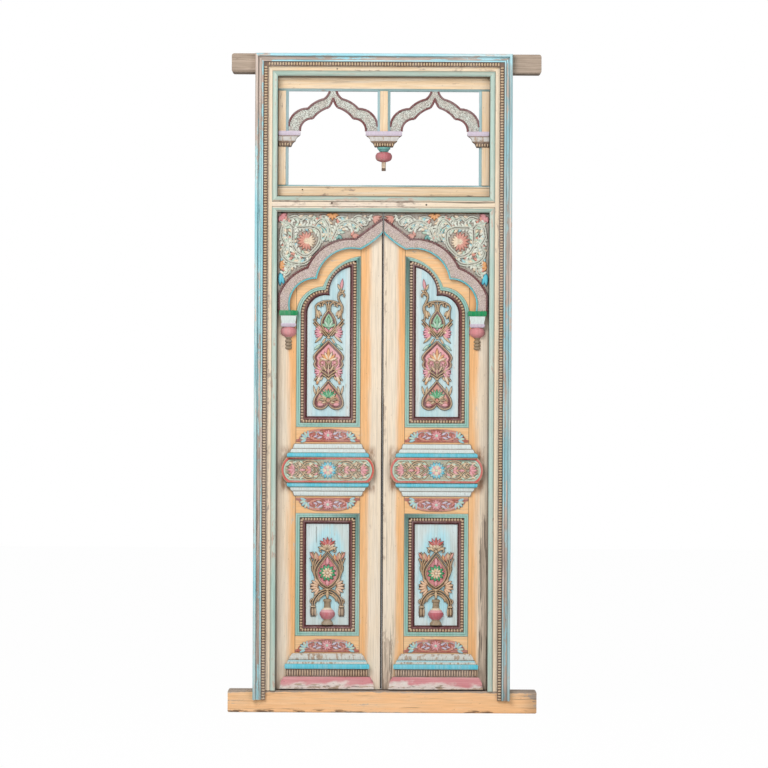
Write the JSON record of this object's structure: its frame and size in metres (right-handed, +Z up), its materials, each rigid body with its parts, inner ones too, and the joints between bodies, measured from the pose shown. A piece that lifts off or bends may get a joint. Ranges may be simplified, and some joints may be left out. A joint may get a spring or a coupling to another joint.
{
  "type": "carved temple door",
  "caption": "Carved and painted double-leaf temple door in its timber frame, with panelled leaves on pivot pins and an open arched light above.",
  "frame": {"origin": "on the sill's underside, at the door's centreline and the middle of the frame's depth", "axes": "+Z up, +X to the right when facing the carved face, +Y from the carved face to the back"},
  "size_m": [1.132, 0.126, 2.4],
  "materials": {
    "raw_wood": "weathered bare wood",
    "apricot_paint": "old apricot and cream paint, worn",
    "blue_paint": "old sky-blue paint, worn to the wood",
    "aqua_paint": "old aqua paint with beads picked out in brown",
    "bead_brown": "brown and gold bead strip",
    "pale_blue_paint": "pale blue panel paint",
    "gold_carving": "carved wood in gold-brown with pink and green paint",
    "grey_green_carving": "carved wood in grey-green with red and mauve paint",
    "mint_paint": "mint paint with maroon borders",
    "white_blue_paint": "white and blue paint, worn",
    "pink_paint": "pink paint, worn to the wood"
  },
  "bodies": {
    "frame": {"head_beam": "raw_wood", "sill_beam": "apricot_paint", "transom_beam": "apricot_paint", "casing_head": "blue_paint", "bead_strip_head": "bead_brown", "light_mullion": "apricot_paint", "pendant_capital": "white_blue_paint", "pendant_drop": "pink_paint", "light_top_rail": "apricot_paint", "light_bottom_rail": "apricot_paint", "light_arch_right_outer": "mint_paint", "light_arch_right_inner": "mint_paint", "light_arch_left_outer": "mint_paint", "light_arch_left_inner": "mint_paint", "jamb_left": "apricot_paint", "jamb_right": "apricot_paint", "casing_left": "blue_paint", "casing_right": "blue_paint", "bead_strip_left": "bead_brown", "bead_strip_right": "bead_brown", "light_stile_left": "apricot_paint", "light_stile_right": "apricot_paint", "light_capital_left": "white_blue_paint", "light_capital_right": "white_blue_paint"},
    "left_leaf": {"hinge_stile_left": "apricot_paint", "meeting_stile_left": "apricot_paint", "top_rail_left": "apricot_paint", "middle_rail_left": "apricot_paint", "bottom_rail_left": "apricot_paint", "upper_panel_left": "pale_blue_paint", "lower_panel_left": "pale_blue_paint", "upper_moulding_left": "aqua_paint", "lower_moulding_left": "aqua_paint", "upper_carving_left": "gold_carving", "lower_carving_left": "gold_carving", "cornice_upper_left": "white_blue_paint", "cornice_lower_left": "white_blue_paint", "cartouche_left": "gold_carving", "plinth_left": "pink_paint", "spandrel_left": "grey_green_carving", "drop_left": "pink_paint"},
    "right_leaf": {"hinge_stile_right": "apricot_paint", "meeting_stile_right": "apricot_paint", "top_rail_right": "apricot_paint", "middle_rail_right": "apricot_paint", "bottom_rail_right": "apricot_paint", "upper_panel_right": "pale_blue_paint", "lower_panel_right": "pale_blue_paint", "upper_moulding_right": "aqua_paint", "lower_moulding_right": "aqua_paint", "upper_carving_right": "gold_carving", "lower_carving_right": "gold_carving", "cornice_upper_right": "white_blue_paint", "cornice_lower_right": "white_blue_paint", "cartouche_right": "gold_carving", "plinth_right": "pink_paint", "spandrel_right": "grey_green_carving", "drop_right": "pink_paint"}
  },
  "joints": [
    {"name": "left_leaf_swing", "type": "hinge", "parent": "frame", "child": "left_leaf", "pos_m": [-0.384, 0.002, 0.9], "axis": [0, 0, 1], "range_deg": [0, 90]},
    {"name": "right_leaf_swing", "type": "hinge", "parent": "frame", "child": "right_leaf", "pos_m": [0.384, 0.002, 0.9], "axis": [0, 0, -1], "range_deg": [0, 90]}
  ]
}
